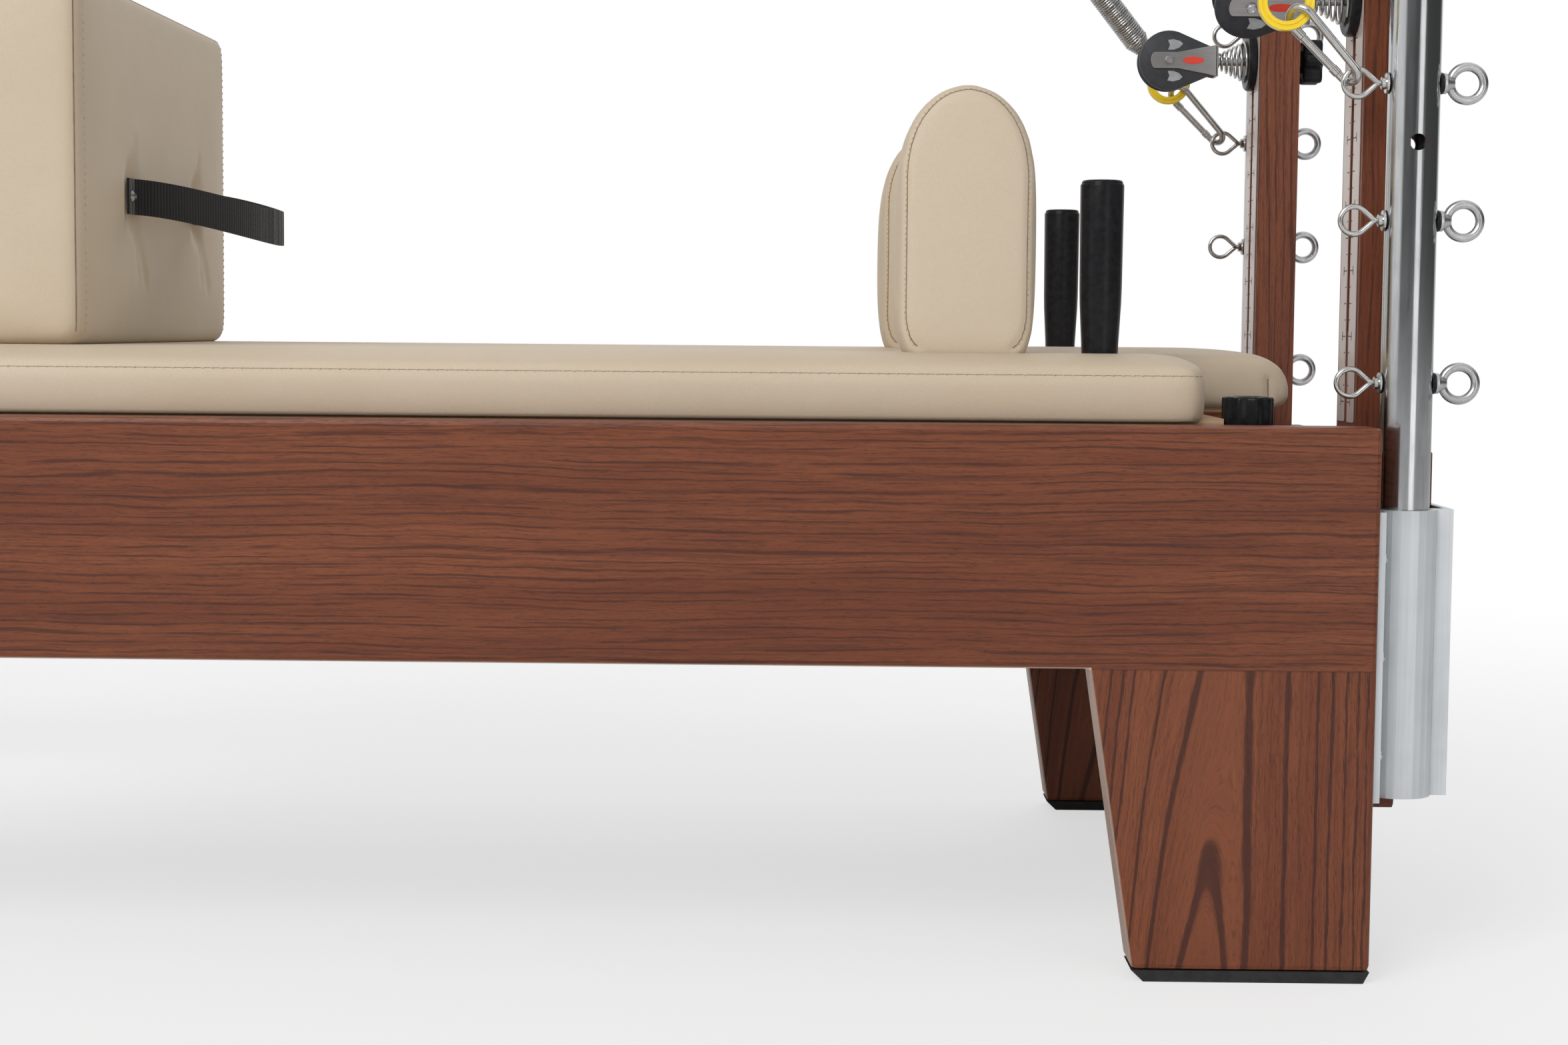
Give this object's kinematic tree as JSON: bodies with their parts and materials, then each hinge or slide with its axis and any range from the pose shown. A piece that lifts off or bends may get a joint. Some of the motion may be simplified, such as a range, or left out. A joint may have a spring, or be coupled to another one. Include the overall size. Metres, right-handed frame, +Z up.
{
  "type": "pilates reformer with tower",
  "caption": "Pilates reformer: an oak frame whose padded carriage rolls on tracks, with footbar, pulleys, sitting box and a steel tower that carries a sprung push-through bar.",
  "frame": {"origin": "on the floor under the middle of the whole machine", "axes": "+Z up, +X towards the head end where the tower stands, +Y to the right of someone lying on the carriage with the head at the head end"},
  "size_m": [2.4804, 0.718, 2.1495],
  "materials": {
    "stained_oak": "red-brown stain under satin lacquer, grain along each board",
    "black_rubber": "matt",
    "satin_aluminium": "satin extrusion",
    "birch_plywood": "unstained, sealed",
    "beige_leather": "smooth upholstery vinyl, low sheen",
    "zinc_steel": "zinc plated",
    "black_plastic": "fine texture, low sheen",
    "black_webbing": "ribbed weave",
    "polished_steel": "polished stainless",
    "yellow_enamel": "glossy enamel",
    "white_nylon": "moulded nylon",
    "black_steel": "powder coat",
    "black_foam": "closed-cell foam sleeve"
  },
  "bodies": {
    "frame": {"side_frame_left": "stained_oak", "side_frame_right": "stained_oak", "rubber_foot_head_left": "black_rubber", "rubber_foot_head_right": "black_rubber", "rubber_foot_foot_left": "black_rubber", "rubber_foot_foot_right": "black_rubber", "head_end_board": "stained_oak", "foot_end_board": "stained_oak", "track_left": "satin_aluminium", "track_right": "satin_aluminium", "spring_rack": "stained_oak", "spring_bar": "zinc_steel", "carriage_spring_1": "polished_steel", "carriage_spring_2": "polished_steel", "carriage_spring_3": "polished_steel", "carriage_spring_4": "polished_steel", "pulley_post_left": "stained_oak", "pulley_post_right": "stained_oak", "crossboard": "stained_oak", "tower_socket_left": "satin_aluminium", "tower_socket_right": "satin_aluminium", "tower_frame": "polished_steel", "snap_hook_left": "polished_steel", "snap_hook_right": "polished_steel", "spring_ring_left": "yellow_enamel", "spring_ring_right": "yellow_enamel", "tower_spring_left": "polished_steel", "tower_spring_right": "polished_steel", "standing_platform": "stained_oak", "standing_pad": "beige_leather", "footbar_plate_left": "black_steel", "footbar_plate_right": "black_steel"},
    "carriage": {"carriage_base": "birch_plywood", "carriage_pad": "beige_leather", "hand_post_left": "black_plastic", "hand_post_right": "black_plastic"},
    "foot_wheels": {"wheel_foot_left": "black_rubber", "wheel_foot_right": "black_rubber"},
    "head_wheels": {"wheel_head_left": "black_rubber", "wheel_head_right": "black_rubber"},
    "headrest": {"headrest_pad": "beige_leather", "headrest_board": "birch_plywood"},
    "shoulder_left": {"shoulder_rest_left": "beige_leather", "shoulder_bracket_left": "zinc_steel"},
    "shoulder_right": {"shoulder_rest_right": "beige_leather", "shoulder_bracket_right": "zinc_steel"},
    "box": {"sitting_box": "beige_leather", "box_strap": "black_webbing"},
    "footbar_body": {"footbar": "black_steel", "footbar_grip": "black_foam"},
    "footbar_lock": {"footbar_pin": "black_plastic"},
    "push_through_bar": {"push_bar": "polished_steel"},
    "clamp_left": {"pulley_clamp_left": "black_plastic"},
    "knob_left": {"clamp_knob_left": "black_plastic"},
    "block_left": {"pulley_block_left": "black_plastic"},
    "sheave_body_left": {"sheave_left": "white_nylon"},
    "clamp_right": {"pulley_clamp_right": "black_plastic"},
    "knob_right": {"clamp_knob_right": "black_plastic"},
    "block_right": {"pulley_block_right": "black_plastic"},
    "sheave_body_right": {"sheave_right": "white_nylon"}
  },
  "joints": [
    {"name": "carriage_slide", "type": "slide", "parent": "frame", "child": "carriage", "axis": [1, 0, 0], "range_m": [-0.769, 0]},
    {"name": "foot_wheel_spin", "type": "hinge", "parent": "carriage", "child": "foot_wheels", "pos_m": [0.0158, 0, 0.3323], "axis": [0, 1, 0], "continuous": true},
    {"name": "head_wheel_spin", "type": "hinge", "parent": "carriage", "child": "head_wheels", "pos_m": [0.935, 0, 0.3323], "axis": [0, 1, 0], "continuous": true},
    {"name": "headrest_tilt", "type": "hinge", "parent": "carriage", "child": "headrest", "pos_m": [0.7998, 0, 0.413], "axis": [0, -1, 0], "range_deg": [0, 30]},
    {"name": "shoulder_lift_left", "type": "slide", "parent": "carriage", "child": "shoulder_left", "axis": [0, 0, 1], "range_m": [0, 0.08]},
    {"name": "shoulder_lift_right", "type": "slide", "parent": "carriage", "child": "shoulder_right", "axis": [0, 0, 1], "range_m": [0, 0.08]},
    {"name": "box_lift", "type": "slide", "parent": "carriage", "child": "box", "axis": [0, 0, 1], "range_m": [0, 0.3]},
    {"name": "footbar_swing", "type": "hinge", "parent": "frame", "child": "footbar_body", "pos_m": [-0.9402, 0, 0.44], "axis": [0, 1, 0], "range_deg": [-70, 0]},
    {"name": "footbar_lock_slide", "type": "slide", "parent": "footbar_body", "child": "footbar_lock", "axis": [0, -1, 0], "range_m": [0, 0.006]},
    {"name": "push_bar_swing", "type": "hinge", "parent": "frame", "child": "push_through_bar", "pos_m": [1.1863, 0, 1.65], "axis": [0, 1, 0], "range_deg": [-70, 55], "deforming": ["tower_spring_left", "tower_spring_right"]},
    {"name": "pulley_height_left", "type": "slide", "parent": "frame", "child": "clamp_left", "axis": [0, 0, 1], "range_m": [-0.24, 0.08]},
    {"name": "clamp_knob_spin_left", "type": "hinge", "parent": "clamp_left", "child": "knob_left", "pos_m": [1.1964, -0.226, 0.724], "axis": [1, 0, 0], "continuous": true},
    {"name": "pulley_swivel_left", "type": "hinge", "parent": "clamp_left", "child": "block_left", "pos_m": [1.0792, -0.226, 0.724], "axis": [1, 0, 0], "range_deg": [-60, 60]},
    {"name": "sheave_spin_left", "type": "hinge", "parent": "block_left", "child": "sheave_body_left", "pos_m": [1.0792, -0.226, 0.724], "axis": [0, 0.8191, 0.5736], "continuous": true},
    {"name": "pulley_height_right", "type": "slide", "parent": "frame", "child": "clamp_right", "axis": [0, 0, 1], "range_m": [-0.24, 0.08]},
    {"name": "clamp_knob_spin_right", "type": "hinge", "parent": "clamp_right", "child": "knob_right", "pos_m": [1.1964, 0.226, 0.724], "axis": [1, 0, 0], "continuous": true},
    {"name": "pulley_swivel_right", "type": "hinge", "parent": "clamp_right", "child": "block_right", "pos_m": [1.0792, 0.226, 0.724], "axis": [1, 0, 0], "range_deg": [-60, 60]},
    {"name": "sheave_spin_right", "type": "hinge", "parent": "block_right", "child": "sheave_body_right", "pos_m": [1.0792, 0.226, 0.724], "axis": [0, 1, 0], "continuous": true}
  ],
  "couplings": [
    {"joint": "foot_wheel_spin", "follows": "carriage_slide", "rad_per_m": 42.918},
    {"joint": "head_wheel_spin", "follows": "carriage_slide", "rad_per_m": 42.918}
  ]
}
